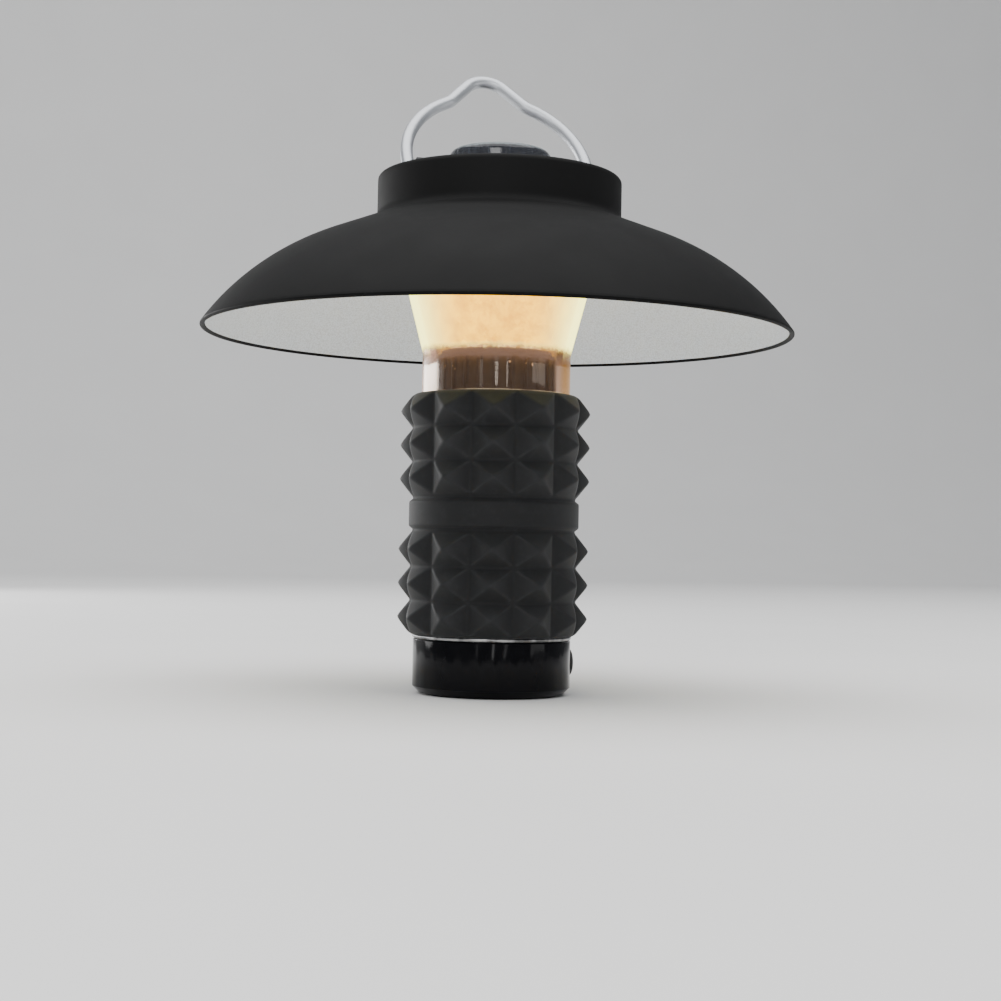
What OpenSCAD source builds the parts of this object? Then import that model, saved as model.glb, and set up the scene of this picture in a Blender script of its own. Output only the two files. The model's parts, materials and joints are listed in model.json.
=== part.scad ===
// Small camping lantern: a battery handle with a studded rubber grip, a flared
// light lens, a cap with a torch and a folding wire bail, and a hat-shaped shade.
// Millimetres. The origin is on the surface that the lantern stands on, under its
// centre. +Z runs up the lantern. The bail swings about a line along X. The
// charging port faces +Y and the power button +X.

/* [Battery] */
// Diameter of the battery cell
cell_d = 18.2; // [16:0.1:22]
// Length of the battery cell without its raised contact
cell_len = 49.5; // [40:0.1:62]

/* [Handle] */
// Wall of the tube that holds the battery
tube_wall = 1.4; // [1.2:0.1:2]
// Space between the battery tube and the metal barrel
barrel_gap = 1.7; // [1.6:0.1:2.5]
// Wall of the metal barrel
barrel_wall = 1.3; // [1:0.1:2]
// Length of the rubber grip
grip_h = 44.9; // [36:0.1:46]
// Rubber between the barrel and the foot of the studs
grip_wall = 1.5; // [0.8:0.1:2]
// Height of the pyramid studs
stud_h = 2.5; // [1:0.1:3]
// Studs in each row around the grip
stud_count = 12; // [8:1:18]
// Width of the plain band between the two stud fields
band_w = 5; // [3:0.1:8]
// Groove on each side of the plain band
band_groove = 0.9; // [0.4:0.1:1.5]

/* [Base] */
// Height of the base cup
base_h = 10.1; // [9.8:0.1:13]
// Side wall of the base cup
base_wall = 1.5; // [1.4:0.1:2]
// How far the base stands out past the barrel
base_over = 0.8; // [0.5:0.1:1.2]
// Bright ring between the base and the grip
trim_h = 0.7; // [0.4:0.1:1.2]
// Thickness of the rubber foot pad
pad_t = 1.2; // [0.8:0.1:1.5]
// How far the foot pad stands out under the base
pad_proud = 0.3; // [0.2:0.1:0.5]
// Diameter of the power button
button_d = 5.2; // [4:0.1:5.4]
// Travel of the power button
button_travel = 0.6; // [0.2:0.1:0.7]

/* [Light] */
// Height of the lens's flared part
flare_h = 19.1; // [15:0.1:24]
// Slope of the flare, measured from upright
flare_slope = 14.6; // [8:0.1:18]
// Height of the bend where the flare starts
bend_h = 1; // [0.6:0.1:4]
// Height of the straight rim at the top of the lens
lens_rim_h = 2; // [1.8:0.1:3]
// Wall of the lens
lens_wall = 1.5; // [1:0.1:2]
// Number of light chips in the ring
chip_count = 8; // [4:1:10]

/* [Cap] */
// Height of the top cap
cap_h = 13.95; // [13.5:0.05:18]
// Wall of the top cap
cap_wall = 2.2; // [1.6:0.1:2.6]
// Diameter of the torch lens
torch_d = 19.3; // [17:0.1:24]
// How far the torch lens stands out of the cap
torch_proud = 6.1; // [3:0.1:8]

/* [Bail] */
// Diameter of the bail's wire
wire_d = 2.4; // [1.8:0.1:3]
// Lean of the bail towards the back
bail_lean = 34; // [0:1:50]
// Straight leg above the pivot
leg_h = 3.3; // [2.2:0.1:6]
// Radius of the shoulder bends
shoulder_r = 18; // [14:0.5:18]
// Turn of the shoulder bends
shoulder_turn = 60; // [40:1:66]
// Straight run after each shoulder
shoulder_run = 0.5; // [0.3:0.1:5]
// Turn back at the foot of the hump
hump_turn = 20; // [4:1:24]
// Straight rise of the hump
hump_run = 5.4; // [3:0.1:6]

/* [Shade] */
// Outer diameter of the shade
shade_d = 111.2; // [92:0.2:140]
// Sheet thickness of the shade
shade_wall = 0.8; // [0.6:0.1:1.2]
// Radius of the dome's curve
dome_r = 48; // [40:0.5:52]
// Slope of the dome at its rim
rim_slope = 55; // [45:1:60]
// Slope of the dome beside the collar
crown_slope = 21.5; // [15:0.5:25]
// Height of the collar on the shade
collar_h = 8.2; // [6:0.1:14]
// Width of the lip that hangs on the cap
lip_w = 2.3; // [2:0.1:5]

/* [Hidden] */
$fn = 96;
eps = 0.01;
cut = 1;           // how far a cutting shape runs past what it cuts
slip = 0.1;        // clearance of a seat inside one body
fit = 0.05;        // radial clearance of a pin in its bore
apart = 0.3;       // gap between pieces that move past each other

// Radii, from the battery outwards
cell_r = cell_d / 2;
tube_ri = cell_r + 0.5;
tube_r = tube_ri + tube_wall;
barrel_ri = tube_r + barrel_gap;
barrel_r = barrel_ri + barrel_wall;
base_r = barrel_r + base_over;
base_ri = base_r - base_wall;
trim_r = base_r + 0.1;
grip_r = barrel_r + grip_wall;
stud_r = grip_r + stud_h;
spigot_r = base_ri - slip;
spigot_ri = spigot_r - 0.9;
flange_r = spigot_ri - slip;

// Heights in the base
base_z = pad_proud;
recess_z = pad_t;
floor_t = 1.5;
floor_z = recess_z + floor_t;
base_top = base_z + base_h;
trim_top = base_top + trim_h;
pcb_t = 1;
pcb_z = floor_z + 0.7;
pcb_top = pcb_z + pcb_t;
pcb_r = base_ri - 1.3;
pad_r = base_ri - 0.7;
chamfer = 1.2;

// Screws that clamp the base, board and battery tube
post_r = 2;
screw_pitch_r = flange_r - post_r;
screw_angles = [30, 150, 270];
screw_r = 1;
screw_head_r = 1.9;
screw_head_h = 1.2;
screw_len = 6.3;
head_z = recess_z + slip;

// Battery tube and its stack
flange_t = 1;
flange_top = base_top - 0.2;
tube_z = flange_top - flange_t;
spring_h = 7;
cell_z = pcb_top + spring_h;
ledge_z = cell_z - slip;
cell_top = cell_z + cell_len;
nub_h = 0.6;
nub_r = 3;
contact_t = 0.2;
insulator_t = 0.2;
carrier_spigot_h = 0.7;
carrier_t = 0.8;
led_pcb_t = 0.8;
contact_z = cell_top + nub_h;
insulator_z = contact_z + contact_t;
carrier_z = insulator_z + insulator_t;
tube_top = carrier_z + carrier_spigot_h;
led_pcb_z = tube_top + carrier_t;
led_top = led_pcb_z + led_pcb_t;
rib_count = 24;
rib_r = 0.35;

// Leads from the control board, in slots in the battery tube
lead_r = 0.35;
slot_r = 0.5;
lead_pitch_r = tube_ri + 0.45;
lead_angles = [292, 304, 316, 328];
contact_angle = 340;

// Contact spring
spring_wire_r = 0.4;
spring_r = 4;
spring_turns = 4;
spring_steps = 14;
spring_sides = 6;

// Barrel, grip and lens
shoulder_top = trim_top + 0.1;
spigot_z = pcb_top + 3.6;
grip_lap = 1.2;
grip_z = trim_top;
grip_top = grip_z + grip_h;
barrel_top = grip_top - grip_lap;
row_h = (grip_h - band_w - 2 * band_groove) / 6;
lens_spigot_h = 6.8;
lens_spigot_r = barrel_ri - slip;
lens_spigot_ri = tube_r + 0.2;
lens_r = barrel_r - fit;
flare_z = led_pcb_z - 0.5;
seal_z = barrel_top - 3.8;
seal_section_r = 0.4;
seal_groove_r = lens_spigot_ri + 0.6;

// Bail, ears and shade, from the torch outwards
torch_r = torch_d / 2;
bezel_r = torch_r + 2.1;
bezel_h = 0.8;
wire_r = wire_d / 2;
ear_x = bezel_r + 1.2;
ear_w = 3.2;
ear_r = wire_r + 1.2;
leg_x = ear_x + ear_w + apart + wire_r;
elbow_r = wire_r + 0.1;
wire_sides = 48;
straight_r = wire_r - 0.02;
dip = 0.05;
hole_r = leg_x + wire_r + 1.1;
collar_r = hole_r + lip_w + shade_wall;
cap_r = collar_r - shade_wall - apart;

// Top of the lens and the cap
lens_top_r = cap_r - cap_wall - slip;
flare_bend_r = bend_h / tan(flare_slope / 2);
flare_top_r = min(lens_top_r, lens_r + (flare_h - bend_h) * tan(flare_slope));
lens_step = lens_top_r - flare_top_r;
lens_seat_h = 1;   // least straight rim above the step
lens_top = flare_z + flare_h + max(lens_rim_h, lens_step + lens_seat_h);
gasket_t = 0.6;
cap_z = lens_top - 1.6;
cap_top = cap_z + cap_h;
cap_plate_t = 2.2;
cap_round = 1.2;
gasket_ri = lens_top_r - lens_wall + 0.25;
shoulder_z = lens_top + gasket_t;

// Reflector cone under the cap
cone_rim_r = lens_top_r - lens_wall - slip;
cone_top = lens_top + 0.2;
cone_rim_t = 0.8;
cone_bell_h = 11.4;
stem_r = 1.5;
stem_ri = 0.9;
rib_wall = 1.2;

// Torch in the cap
well_floor_t = 1.2;
well_depth = 4;
well_z = cap_top - well_depth;
torch_pcb_t = 0.8;
torch_pcb_top = well_z + torch_pcb_t;
torch_flange_t = 0.7;
torch_flange_r = torch_r + 0.9;
torch_top = cap_top + torch_proud;
torch_pane_t = 3.2;
torch_round = 1.5;
led_side = 3.45;
led_base_h = 0.6;
led_dome_r = 1.25;
dish_top_r = torch_r - 1.5;
dish_h = torch_top - torch_pane_t - slip - torch_pcb_top;
dish_vertex = 0.85;
dish_t = 0.6;
torch_screw_r = 0.8;
torch_screw_inset = 3.25;
torch_screw_pitch = torch_r - torch_screw_inset;

// Bail geometry: x still to cover when the apex bend begins sets its radius
pivot_z = cap_top + wire_r + apart;
hump_r = 4.4;
hump_angle = shoulder_turn - hump_turn;
p_shoulder = [leg_x - shoulder_r, leg_h];
p_run = p_shoulder + shoulder_r * [cos(shoulder_turn), sin(shoulder_turn)];
p_foot = p_run + shoulder_run * [-sin(shoulder_turn), cos(shoulder_turn)];
p_foot_centre = p_foot + hump_r * [cos(shoulder_turn), sin(shoulder_turn)];
p_rise = p_foot_centre - hump_r * [cos(hump_angle), sin(hump_angle)];
p_crest = p_rise + hump_run * [-sin(hump_angle), cos(hump_angle)];
crest_r = p_crest[0] / cos(hump_angle);
p_crest_centre = p_crest - crest_r * [cos(hump_angle), sin(hump_angle)];

// Shade: the lip lies on the cap, and the dome hangs from the collar
lip_z = cap_top + fit;
lip_top = lip_z + shade_wall;
dome_top = lip_top - collar_h;
collar_round = 1;
shade_r = shade_d / 2;
arc_r = shade_r - dome_r * sin(rim_slope);
flat_r = arc_r + dome_r * sin(crown_slope);
arc_z = dome_top - (flat_r - collar_r) * tan(crown_slope) - dome_r * cos(crown_slope);

// Power button, its switch and the charging port
button_r = button_d / 2;
button_z = pcb_top + 1.6;
button_x = base_r + 0.6;
button_flange_r = button_r + 0.35;
button_flange_t = 0.9;
button_flange_x = sqrt(pow(base_ri, 2) - pow(button_flange_r, 2)) - 0.2;
plunger_x = button_flange_x - button_flange_t;
plunger_r = 1;
plunger_len = 1.9;
switch_x = plunger_x - 1.2;
switch_size = [3.1, 5, 3.2];
port_w = 8.94;
port_h = 3.2;
port_z = pcb_top + port_h / 2;
port_y = base_ri - 0.4;
port_len = 7;
port_wall = 0.3;
opening_w = port_w + 0.5;
opening_h = port_h + 0.4;

// Port cover in its pocket, on a hinge at one side
cover_t = 0.85;
pocket_ri = base_r - cover_t - fit;
pocket_z = floor_z;
pocket_top = base_top - 1.1;
pocket_start = 66;
hinge_angle = 116;
hinge_r = base_r - 0.2;
hinge_barrel_r = 0.65;
hinge_pin_r = 0.4;
lug_r = 0.85;
lug_h = 0.8;
cover_gap = 0.15;

// Charge light
light_angle = 52;
light_r = 0.7;
light_ri = base_ri - 1;

// ---- Shared shapes ----

module ring(r_out, r_in, h) {
    difference() {
        cylinder(r = r_out, h = h);
        translate([0, 0, -cut]) cylinder(r = r_in, h = h + 2 * cut);
    }
}

module at(r, angle, z = 0) {
    translate([r * cos(angle), r * sin(angle), z]) children();
}

// A slot outline w wide and h high, with round ends
module stadium(w, h) {
    square([w - h, h], center = true);
    for (side = [-1, 1]) translate([side * (w - h) / 2, 0]) circle(d = h);
}

// A shape drawn in x and height, pushed from y0 to y1 along +Y
module along_y(y0, y1, z) {
    translate([0, y0, z]) rotate([-90, 0, 0]) linear_extrude(y1 - y0) children();
}

// A round bar along X from x0 to x1
module bar_x(r, x0, x1, z) {
    translate([x0, 0, z]) rotate([0, 90, 0]) cylinder(r = r, h = x1 - x0);
}

// A sector of a ring between two angles under 90 degrees apart
module sector(r_out, r_in, h, a0, a1) {
    intersection() {
        ring(r_out, r_in, h);
        translate([0, 0, -cut]) linear_extrude(h + 2 * cut)
            polygon([[0, 0], 2 * r_out * [cos(a0), sin(a0)], 2 * r_out * [cos(a1), sin(a1)]]);
    }
}

// A pan head with a cross in it, facing down, and a shank above it
module screw(head_r, head_h, shank_r, len) {
    difference() {
        cylinder(r = head_r, h = head_h);
        for (turn = [0, 90]) rotate(turn) translate([-head_r * 0.6, -0.2, -cut])
            cube([head_r * 1.2, 0.4, cut + head_h / 2]);
    }
    translate([0, 0, head_h - eps]) cylinder(r = shank_r, h = len + eps);
}

// ---- Base ----

module foot_pad() {
    color("#1c1c1e") cylinder(r = pad_r, h = pad_t);
}

module base_body() {
    rotate_extrude() polygon([
        [0, base_z], [base_r - chamfer, base_z], [base_r, base_z + chamfer],
        [base_r, base_top - 0.3], [base_r - 0.3, base_top], [base_ri, base_top],
        [base_ri, floor_z], [0, floor_z]
    ]);
    for (angle = screw_angles) at(screw_pitch_r, angle, floor_z - eps)
        cylinder(r = post_r + 0.4, h = pcb_z - floor_z + eps);
}

module hinge_lugs() {
    for (z = [pocket_z - lug_h, pocket_top]) at(hinge_r, hinge_angle, z)
        cylinder(r = lug_r, h = lug_h);
}

module pocket() {
    translate([0, 0, pocket_z])
        sector(base_r + cut, pocket_ri, pocket_top - pocket_z, pocket_start, hinge_angle);
    at(hinge_r, hinge_angle, pocket_z) cylinder(r = hinge_barrel_r + 0.15, h = pocket_top - pocket_z);
}

module base_cap() {
    color("#08080b") difference() {
        union() {
            base_body();
            hinge_lugs();
        }
        translate([0, 0, base_z - cut]) cylinder(r = pad_r + slip, h = recess_z - base_z + cut);
        for (angle = screw_angles) at(screw_pitch_r, angle) {
            translate([0, 0, recess_z - cut])
                cylinder(r = screw_head_r + slip, h = head_z + screw_head_h - recess_z + cut);
            cylinder(r = screw_r + 0.15, h = pcb_z + cut);
        }
        pocket();
        at(hinge_r, hinge_angle, pocket_z - lug_h + 0.1)
            cylinder(r = hinge_pin_r + fit, h = pocket_top - pocket_z + 2 * lug_h - 0.2);
        along_y(base_ri - 2, base_r + cut, port_z) stadium(opening_w, opening_h);
        bar_x(button_r + 0.08, base_ri - 1, base_r + cut, button_z);
        rotate(light_angle) bar_x(light_r + fit, light_ri, base_r + cut, button_z);
    }
}

module base_screws() {
    color("#b8bcc2") for (angle = screw_angles) at(screw_pitch_r, angle, head_z)
        screw(screw_head_r, screw_head_h, screw_r, screw_len);
}

module trim_ring() {
    color("#c9ccd1") translate([0, 0, base_top]) rotate_extrude() polygon([
        [spigot_r + slip, 0], [trim_r - 0.2, 0], [trim_r, 0.2],
        [trim_r, trim_h - 0.2], [trim_r - 0.2, trim_h], [spigot_r + slip, trim_h]
    ]);
}

module control_board() {
    color("#1f6a3a") translate([0, 0, pcb_z]) difference() {
        cylinder(r = pcb_r, h = pcb_t);
        for (angle = screw_angles) at(screw_pitch_r, angle, -cut)
            cylinder(r = screw_r + 0.15, h = pcb_t + 2 * cut);
        translate([plunger_x - 0.9, -button_flange_r - 0.5, -cut])
            cube([4, 2 * button_flange_r + 1, pcb_t + 2 * cut]);
    }
}

module board_chips() {
    color("#222428") {
        translate([-pcb_r + 1.8, -2, pcb_top]) cube([4, 4, 0.9]);
        translate([-7.9, -7.9, pcb_top]) cube([3.6, 3.6, 2.4]);
        translate([-9.8, -3.6, pcb_top]) cube([1.2, 0.8, 0.7]);
        rotate(light_angle) translate([light_ri - 1.1, -0.6, pcb_top]) cube([1, 1.2, 2.2]);
    }
}

module usb_port() {
    color("#c4c8cd") difference() {
        along_y(port_y - port_len, port_y, port_z) stadium(port_w, port_h);
        along_y(port_y - port_len + 1, port_y + cut, port_z)
            stadium(port_w - 2 * port_wall, port_h - 2 * port_wall);
    }
}

module usb_tongue() {
    color("#17171a") translate([-3.35, port_y - port_len + 1, port_z - 0.35])
        cube([6.7, port_len - 1.6, 0.7]);
}

module usb_cover() {
    cover_z = pocket_z + cover_gap;
    cover_h = pocket_top - pocket_z - 2 * cover_gap;
    color("#141417") {
        translate([0, 0, cover_z])
            sector(base_r, pocket_ri + fit, cover_h, pocket_start + 0.8, hinge_angle - 0.6);
        at(hinge_r, hinge_angle, cover_z) cylinder(r = hinge_barrel_r, h = cover_h);
        at(hinge_r, hinge_angle, pocket_z - lug_h + 0.2)
            cylinder(r = hinge_pin_r, h = pocket_top - pocket_z + 2 * lug_h - 0.4);
        along_y(port_y + apart, pocket_ri + 0.3, port_z) stadium(opening_w - 0.4, opening_h - 0.4);
    }
}

module charge_light() {
    color("#f2f4ee") rotate(light_angle) bar_x(light_r, light_ri, base_r - 0.1, button_z);
}

module power_button() {
    color("#101013") translate([plunger_x, 0, button_z]) rotate([0, 90, 0]) rotate_extrude() polygon([
        [0, 0], [button_flange_r, 0], [button_flange_r, button_flange_t],
        [button_r, button_flange_t], [button_r, button_x - plunger_x - 0.4],
        for (a = [15:15:90]) [button_r - 0.4 + 0.4 * cos(a), button_x - plunger_x - 0.4 + 0.4 * sin(a)],
        [0, button_x - plunger_x]
    ]);
}

module switch_plunger() {
    color("#e6e2d8") bar_x(plunger_r, plunger_x - plunger_len, plunger_x, button_z);
}

module tact_switch() {
    color("#2b2d31") difference() {
        translate([switch_x - switch_size[0], -switch_size[1] / 2, pcb_top]) cube(switch_size);
        bar_x(plunger_r + slip, plunger_x - plunger_len - button_travel - 0.2, plunger_x, button_z);
    }
}

// ---- Handle ----

module barrel() {
    color("#2a2b2e") difference() {
        rotate_extrude() polygon([
            [spigot_r, spigot_z], [spigot_r, trim_top], [barrel_r, trim_top], [barrel_r, barrel_top],
            [barrel_ri, barrel_top], [barrel_ri, shoulder_top], [tube_r + 0.2, shoulder_top],
            [tube_r + 0.2, flange_top], [spigot_ri, flange_top], [spigot_ri, spigot_z]
        ]);
        translate([tube_r, -button_flange_r - 0.5, spigot_z - cut])
            cube([5, 2 * button_flange_r + 1, button_z + button_flange_r + 0.2 - spigot_z + cut]);
    }
}

// Outline of the grip from its bore outwards: three rows, a plain band, three rows
module grip_profile() {
    field = 3 * row_h;
    polygon([
        [barrel_r + fit, 0],
        for (i = [0:2]) each [[grip_r, i * row_h], [stud_r, (i + 0.5) * row_h]],
        [grip_r, field], [grip_r, field + band_groove],
        [grip_r + 0.5, field + band_groove], [grip_r + 0.5, field + band_groove + band_w],
        [grip_r, field + band_groove + band_w], [grip_r, field + 2 * band_groove + band_w],
        for (i = [0:2]) each [
            [grip_r, grip_h - field + i * row_h],
            [stud_r, grip_h - field + (i + 0.5) * row_h]
        ],
        [grip_r, grip_h], [barrel_r + fit, grip_h]
    ]);
}

// Each stud is the shared part of a ring of roof shape and a star with as many points
module grip_sleeve() {
    star = [for (i = [0:2 * stud_count - 1])
        (i % 2 == 0 ? grip_r : stud_r) * [cos(i * 180 / stud_count), sin(i * 180 / stud_count)]];
    color("#222224") translate([0, 0, grip_z]) difference() {
        intersection() {
            rotate_extrude() grip_profile();
            linear_extrude(grip_h) polygon(star);
        }
        translate([0, 0, -cut]) cylinder(r = barrel_r + fit, h = grip_h + 2 * cut);
    }
}

// Slot in the tube's bore that a lead runs in
module lead_slot(angle) {
    rotate(angle) {
        translate([lead_pitch_r, 0, tube_z - cut]) cylinder(r = slot_r, h = tube_top - tube_z + 2 * cut);
        translate([tube_ri - 1, -slot_r, tube_z - cut])
            cube([lead_pitch_r - tube_ri + 1, 2 * slot_r, tube_top - tube_z + 2 * cut]);
    }
}

module battery_tube() {
    color("#3a2c22") difference() {
        union() {
            translate([0, 0, tube_z]) cylinder(r = tube_r, h = tube_top - tube_z);
            translate([0, 0, tube_z]) cylinder(r = flange_r, h = flange_t);
            for (angle = screw_angles) at(screw_pitch_r, angle, pcb_top)
                cylinder(r = post_r, h = flange_top - pcb_top);
            for (i = [0:rib_count - 1]) at(tube_r, i * 360 / rib_count, barrel_top + 0.4)
                cylinder(r = rib_r, h = tube_top - barrel_top - 0.4);
        }
        translate([0, 0, ledge_z]) cylinder(r = tube_ri, h = tube_top - ledge_z + cut);
        translate([0, 0, tube_z - cut]) cylinder(r = spring_r + 2, h = ledge_z - tube_z + 2 * cut);
        for (angle = screw_angles) at(screw_pitch_r, angle, pcb_top - cut)
            cylinder(r = screw_r + fit, h = tube_z + 0.4 - pcb_top + cut);
        for (angle = concat(lead_angles, [contact_angle])) lead_slot(angle);
    }
}

module battery_cell() {
    color("#3f6fa8") translate([0, 0, cell_z]) rotate_extrude() polygon([
        [0, 0], [cell_r - 0.4, 0], [cell_r, 0.4], [cell_r, cell_len - 0.4],
        [cell_r - 0.4, cell_len], [0, cell_len]
    ]);
}

module battery_contact() {
    color("#c9ccd1") translate([0, 0, cell_top]) cylinder(r = nub_r, h = nub_h);
}

// Coil as rings of points on a helix, joined side by side, with a face at each end
module contact_spring() {
    rings = spring_turns * spring_steps;
    rise = spring_h - 2 * spring_wire_r;
    points = [for (i = [0:rings], k = [0:spring_sides - 1])
        let (turn = i * 360 / spring_steps, a = k * 360 / spring_sides,
             r = spring_r + spring_wire_r * cos(a))
        [r * cos(turn), r * sin(turn), spring_wire_r * (1 + sin(a)) + rise * i / rings]];
    faces = concat(
        [[for (k = [0:spring_sides - 1]) k]],
        [for (i = [0:rings - 1], k = [0:spring_sides - 1])
            let (a = i * spring_sides + k, b = i * spring_sides + (k + 1) % spring_sides)
            [a, a + spring_sides, b + spring_sides, b]],
        [[for (k = [spring_sides - 1:-1:0]) rings * spring_sides + k]]
    );
    color("#d0b070") translate([0, 0, pcb_top]) polyhedron(points, faces, convexity = 10);
}

module positive_contact() {
    color("#d6d2c4") translate([0, 0, contact_z]) {
        cylinder(r = 4, h = contact_t);
        rotate(contact_angle) translate([0, -0.4, 0]) cube([lead_pitch_r, 0.8, contact_t]);
    }
}

module contact_insulator() {
    color("#e8e4d4") translate([0, 0, insulator_z]) cylinder(r = tube_ri - 0.3, h = insulator_t);
}

module board_leads() {
    color("#b02a22") {
        for (angle = lead_angles) at(lead_pitch_r, angle, pcb_top)
            cylinder(r = lead_r, h = led_pcb_z - pcb_top);
        at(lead_pitch_r, contact_angle, pcb_top) cylinder(r = lead_r, h = contact_z - pcb_top);
    }
}

// ---- Light ----

module led_carrier() {
    color("#b9bdc3") difference() {
        union() {
            translate([0, 0, carrier_z]) cylinder(r = tube_ri - 0.2, h = carrier_spigot_h + eps);
            translate([0, 0, tube_top]) cylinder(r = tube_r, h = carrier_t);
        }
        for (angle = lead_angles) at(lead_pitch_r, angle, tube_top - cut)
            cylinder(r = lead_r + slip, h = carrier_t + 2 * cut);
    }
}

module led_board() {
    color("#f4f4f0") translate([0, 0, led_pcb_z]) cylinder(r = tube_r - 0.6, h = led_pcb_t);
}

module led_chips() {
    color("#ffd27a") for (i = [0:chip_count - 1]) rotate(i * 360 / chip_count)
        translate([tube_r * 0.66 - 1.4, -1.4, led_top]) cube([2.8, 2.8, 0.7]);
}

// Outer line of the flare, from the cylinder's end: a bend, a straight cone, then a step
// out to the rim
function flare_points() = [
    for (i = [0:8]) let (a = flare_slope * i / 8)
        [lens_r + flare_bend_r * (1 - cos(a)), flare_z + flare_bend_r * sin(a)],
    [flare_top_r, flare_z + flare_h],
    [lens_top_r, flare_z + flare_h + lens_step]
];

module lens() {
    inner = [for (p = flare_points()) p - [lens_wall, 0]];
    lens_ri = lens_r - lens_wall;
    spigot_bottom = barrel_top - lens_spigot_h;
    color("#ffedc0", 0.5) rotate_extrude() polygon(concat(
        [[lens_spigot_r, spigot_bottom + 0.4], [lens_spigot_r, seal_z - 0.55],
         [seal_groove_r, seal_z - 0.55], [seal_groove_r, seal_z + 0.55],
         [lens_spigot_r, seal_z + 0.55], [lens_spigot_r, barrel_top], [lens_r, barrel_top]],
        flare_points(),
        [[lens_top_r, lens_top], [lens_top_r - lens_wall, lens_top]],
        [for (i = [len(inner) - 1:-1:0]) inner[i]],
        [[lens_ri, barrel_top + 0.8], [lens_spigot_ri, barrel_top - 0.4],
         [lens_spigot_ri, spigot_bottom], [lens_spigot_r - 0.4, spigot_bottom]]
    ));
}

module lens_seal() {
    color("#c8452e") translate([0, 0, seal_z]) rotate_extrude()
        translate([barrel_ri - seal_section_r - fit, 0]) circle(r = seal_section_r, $fn = 24);
}

// Bell line of the reflector: r = r0 + (r1 - r0)(1 - sqrt(1 - t^2)), t rising with height
function bell(r0, r1, z0, h) = [for (i = [0:12]) let (t = sin(i * 7.5))
    [r0 + (r1 - r0) * (1 - sqrt(1 - t * t)), z0 + h * t]];

module reflector_cone() {
    bell_z = cone_top - cone_rim_t - cone_bell_h;
    inside = bell(stem_ri, cone_rim_r - 1.8, bell_z + 1, cone_top - bell_z - 1);
    color("#f6f3ea") rotate_extrude() polygon(concat(
        [[stem_ri, led_top], [stem_r, led_top]],
        bell(stem_r, cone_rim_r - 1, bell_z, cone_bell_h),
        [[cone_rim_r, cone_top - cone_rim_t], [cone_rim_r, cone_top]],
        [for (i = [12:-1:0]) inside[i]]
    ));
}

module torch_leads() {
    color("#b02a22") for (side = [-1, 1]) translate([side * 0.42, 0, led_top])
        cylinder(r = lead_r, h = well_z - led_top);
}

module cap_gasket() {
    color("#26262a") translate([0, 0, lens_top]) ring(lens_top_r, gasket_ri, gasket_t);
}

// ---- Cap and torch ----

module cap_shell() {
    plate_z = cap_top - cap_plate_t;
    rotate_extrude() polygon([
        [cap_r - cap_wall, cap_z], [cap_r - 0.4, cap_z], [cap_r, cap_z + 0.4],
        for (a = [0:15:90])
            [cap_r - cap_round + cap_round * cos(a), cap_top - cap_round + cap_round * sin(a)],
        [0, cap_top], [0, plate_z], [cap_r - cap_wall, plate_z],
        [cap_r - cap_wall, shoulder_z + 1.2], [gasket_ri, shoulder_z + 1.2],
        [gasket_ri, shoulder_z], [cap_r - cap_wall, shoulder_z]
    ]);
    rib_r_out = cone_rim_r - 1.4;
    translate([0, 0, cone_top]) ring(rib_r_out, rib_r_out - rib_wall, plate_z - cone_top + eps);
    translate([0, 0, well_z - well_floor_t])
        cylinder(r = torch_flange_r + 1.2, h = plate_z - well_z + well_floor_t + eps);
    for (side = [-1, 1]) translate([0, side * torch_screw_pitch, well_z - well_floor_t - 2])
        cylinder(r = torch_screw_r + 1, h = 2 + eps);
}

module cap_ears() {
    for (side = [0, 180]) rotate(side) {
        bar_x(ear_r, ear_x, ear_x + ear_w, pivot_z);
        translate([ear_x, -ear_r, cap_top - eps]) cube([ear_w, 2 * ear_r, pivot_z - cap_top + eps]);
    }
}

module top_cap() {
    color("#1b1b1d") difference() {
        union() {
            cap_shell();
            cap_ears();
        }
        translate([0, 0, well_z]) cylinder(r = torch_r + slip, h = well_depth + cut);
        translate([0, 0, cap_top - torch_flange_t]) cylinder(r = torch_flange_r + slip, h = 2);
        translate([0, 0, well_z - well_floor_t - cut]) cylinder(r = stem_ri, h = well_floor_t + 2 * cut);
        for (side = [-1, 1]) translate([0, side * torch_screw_pitch, well_z - well_floor_t - 1.6])
            cylinder(r = torch_screw_r + fit, h = 4);
        for (side = [0, 180]) rotate(side)
            bar_x(straight_r + fit, ear_x - cut, ear_x + ear_w + cut, pivot_z);
    }
}

module torch_board() {
    color("#f4f4f0") translate([0, 0, well_z]) difference() {
        cylinder(r = torch_r - 0.3, h = torch_pcb_t);
        for (side = [-1, 1]) translate([0, side * torch_screw_pitch, -cut])
            cylinder(r = torch_screw_r + slip, h = torch_pcb_t + 2 * cut);
    }
}

module torch_led() {
    color("#ffe9a8") translate([0, 0, torch_pcb_top]) {
        translate([-led_side / 2, -led_side / 2, 0]) cube([led_side, led_side, led_base_h]);
        intersection() {
            translate([0, 0, led_base_h]) sphere(r = led_dome_r);
            translate([-2, -2, led_base_h - eps]) cube(4);
        }
    }
}

module torch_screws() {
    color("#b8bcc2") for (side = [-1, 1]) translate([0, side * torch_screw_pitch, torch_pcb_top + 0.9])
        mirror([0, 0, 1]) screw(1.3, 0.9, torch_screw_r, 2.9);
}

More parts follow.
